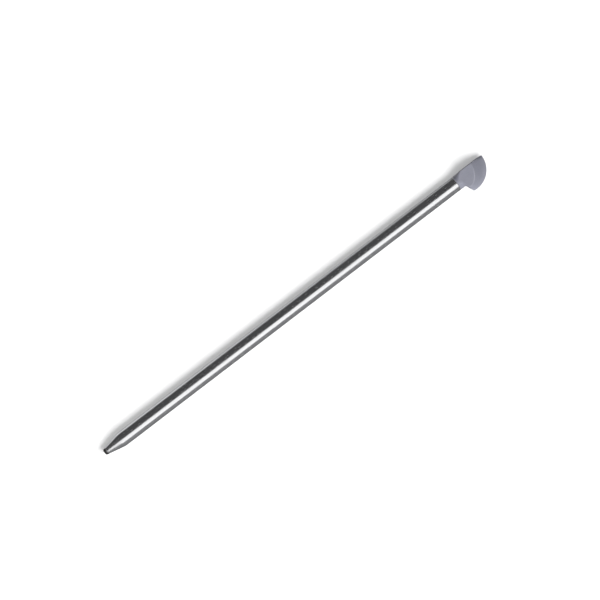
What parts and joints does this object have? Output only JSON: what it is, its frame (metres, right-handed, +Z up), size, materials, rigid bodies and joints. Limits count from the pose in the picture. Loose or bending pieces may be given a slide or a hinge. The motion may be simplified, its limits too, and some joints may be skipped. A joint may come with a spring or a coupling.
{
  "type": "tubular tent stake",
  "caption": "Slim round aluminium tent stake with a swaged conical nose, a carbon core and a bonded one-sided hook head.",
  "frame": {"origin": "under the middle of the overall box, on the surface the stake lies on", "axes": "+X along the tube from the nose to the head, +Y away from the hook, +Z up from the head's lower flat side"},
  "size_m": [0.1524, 0.0078, 0.0048],
  "materials": {
    "drawn_aluminium": "polished",
    "grey_nylon": "matte",
    "carbon_rod": "satin",
    "cured_adhesive": "satin"
  },
  "bodies": {
    "root": {"stake_tube": "drawn_aluminium", "hook_head": "grey_nylon", "core_rod": "carbon_rod", "core_bond": "cured_adhesive", "shank_bond": "cured_adhesive"}
  },
  "joints": []
}
